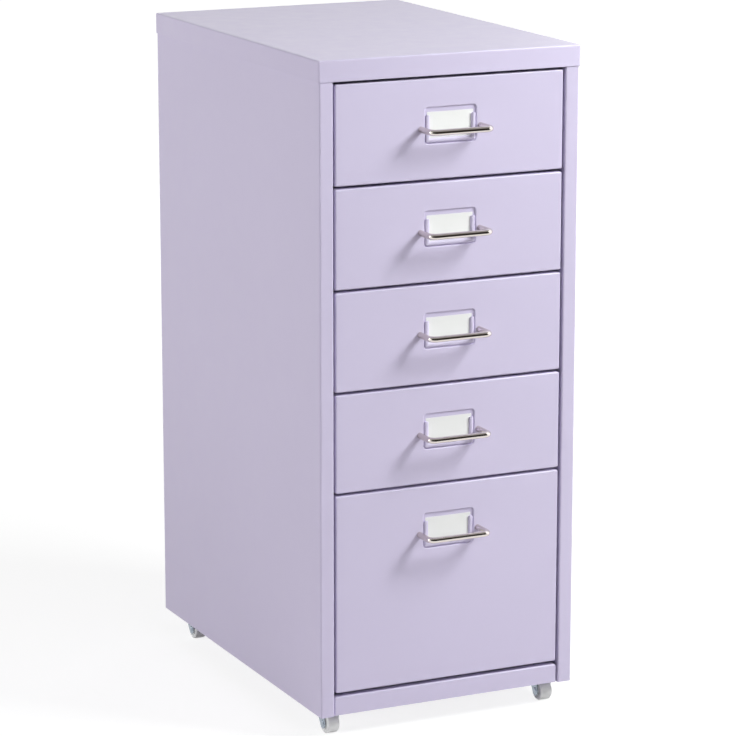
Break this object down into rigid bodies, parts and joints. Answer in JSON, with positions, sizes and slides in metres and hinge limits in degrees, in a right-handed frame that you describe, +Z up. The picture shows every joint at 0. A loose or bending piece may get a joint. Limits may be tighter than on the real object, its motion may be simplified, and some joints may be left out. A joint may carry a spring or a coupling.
{
  "type": "drawer cabinet",
  "caption": "Narrow mobile drawer cabinet in pale lilac folded steel, with sliding drawers, wire handles, label holders and swivel casters.",
  "frame": {"origin": "on the floor, under the middle of the overall box, handles included", "axes": "+Z is up, the drawers open towards -Y, and +X is to the right when the front is looked at"},
  "size_m": [0.28, 0.436, 0.672],
  "materials": {
    "powder_coat": "satin pale lilac powder coat on sheet steel",
    "chrome_wire": "polished plated wire",
    "zinc": "bluish zinc plate",
    "wheel_plastic": "slightly translucent pale grey plastic",
    "card": "plain white card",
    "rubber": "dull black rubber"
  },
  "bodies": {
    "carcass": {"top_cap": "powder_coat", "left_side_panel": "powder_coat", "right_side_panel": "powder_coat", "back_panel": "powder_coat", "base_panel": "powder_coat", "left_runners": "powder_coat", "right_runners": "powder_coat", "drawer_bumpers": "rubber", "back_rivets": "zinc", "caster_rivets": "zinc", "caster_kingpins": "zinc", "front_left_caster_plate": "zinc", "front_right_caster_plate": "zinc", "rear_left_caster_plate": "zinc", "rear_right_caster_plate": "zinc"},
    "drawer_1": {"drawer_1_tray": "powder_coat", "drawer_1_front": "powder_coat", "drawer_1_label_holder": "powder_coat", "drawer_1_card": "card", "drawer_1_handle": "chrome_wire", "drawer_1_handle_nuts": "zinc"},
    "drawer_2": {"drawer_2_tray": "powder_coat", "drawer_2_front": "powder_coat", "drawer_2_label_holder": "powder_coat", "drawer_2_card": "card", "drawer_2_handle": "chrome_wire", "drawer_2_handle_nuts": "zinc"},
    "drawer_3": {"drawer_3_tray": "powder_coat", "drawer_3_front": "powder_coat", "drawer_3_label_holder": "powder_coat", "drawer_3_card": "card", "drawer_3_handle": "chrome_wire", "drawer_3_handle_nuts": "zinc"},
    "drawer_4": {"drawer_4_tray": "powder_coat", "drawer_4_front": "powder_coat", "drawer_4_label_holder": "powder_coat", "drawer_4_card": "card", "drawer_4_handle": "chrome_wire", "drawer_4_handle_nuts": "zinc"},
    "drawer_5": {"drawer_5_tray": "powder_coat", "drawer_5_front": "powder_coat", "drawer_5_label_holder": "powder_coat", "drawer_5_card": "card", "drawer_5_handle": "chrome_wire", "drawer_5_handle_nuts": "zinc"},
    "front_left_caster_fork": {"front_left_caster_fork": "zinc", "front_left_caster_axle": "zinc"},
    "front_left_caster_wheel": {"front_left_caster_wheel": "wheel_plastic"},
    "front_right_caster_fork": {"front_right_caster_fork": "zinc", "front_right_caster_axle": "zinc"},
    "front_right_caster_wheel": {"front_right_caster_wheel": "wheel_plastic"},
    "rear_left_caster_fork": {"rear_left_caster_fork": "zinc", "rear_left_caster_axle": "zinc"},
    "rear_left_caster_wheel": {"rear_left_caster_wheel": "wheel_plastic"},
    "rear_right_caster_fork": {"rear_right_caster_fork": "zinc", "rear_right_caster_axle": "zinc"},
    "rear_right_caster_wheel": {"rear_right_caster_wheel": "wheel_plastic"}
  },
  "joints": [
    {"name": "drawer_1_slide", "type": "slide", "parent": "carcass", "child": "drawer_1", "axis": [0, -1, 0], "range_m": [0, 0.3]},
    {"name": "drawer_2_slide", "type": "slide", "parent": "carcass", "child": "drawer_2", "axis": [0, -1, 0], "range_m": [0, 0.3]},
    {"name": "drawer_3_slide", "type": "slide", "parent": "carcass", "child": "drawer_3", "axis": [0, -1, 0], "range_m": [0, 0.3]},
    {"name": "drawer_4_slide", "type": "slide", "parent": "carcass", "child": "drawer_4", "axis": [0, -1, 0], "range_m": [0, 0.3]},
    {"name": "drawer_5_slide", "type": "slide", "parent": "carcass", "child": "drawer_5", "axis": [0, -1, 0], "range_m": [0, 0.3]},
    {"name": "front_left_caster_swivel", "type": "hinge", "parent": "carcass", "child": "front_left_caster_fork", "pos_m": [-0.119, -0.157, 0.033], "axis": [0, 0, 1], "continuous": true},
    {"name": "front_left_caster_wheel_spin", "type": "hinge", "parent": "front_left_caster_fork", "child": "front_left_caster_wheel", "pos_m": [-0.119, -0.1675, 0.0105], "axis": [1, 0, 0], "continuous": true},
    {"name": "front_right_caster_swivel", "type": "hinge", "parent": "carcass", "child": "front_right_caster_fork", "pos_m": [0.119, -0.157, 0.033], "axis": [0, 0, 1], "continuous": true},
    {"name": "front_right_caster_wheel_spin", "type": "hinge", "parent": "front_right_caster_fork", "child": "front_right_caster_wheel", "pos_m": [0.119, -0.1675, 0.0105], "axis": [1, 0, 0], "continuous": true},
    {"name": "rear_left_caster_swivel", "type": "hinge", "parent": "carcass", "child": "rear_left_caster_fork", "pos_m": [-0.119, 0.183, 0.033], "axis": [0, 0, 1], "continuous": true},
    {"name": "rear_left_caster_wheel_spin", "type": "hinge", "parent": "rear_left_caster_fork", "child": "rear_left_caster_wheel", "pos_m": [-0.119, 0.1725, 0.0105], "axis": [1, 0, 0], "continuous": true},
    {"name": "rear_right_caster_swivel", "type": "hinge", "parent": "carcass", "child": "rear_right_caster_fork", "pos_m": [0.119, 0.183, 0.033], "axis": [0, 0, 1], "continuous": true},
    {"name": "rear_right_caster_wheel_spin", "type": "hinge", "parent": "rear_right_caster_fork", "child": "rear_right_caster_wheel", "pos_m": [0.119, 0.1725, 0.0105], "axis": [1, 0, 0], "continuous": true}
  ]
}
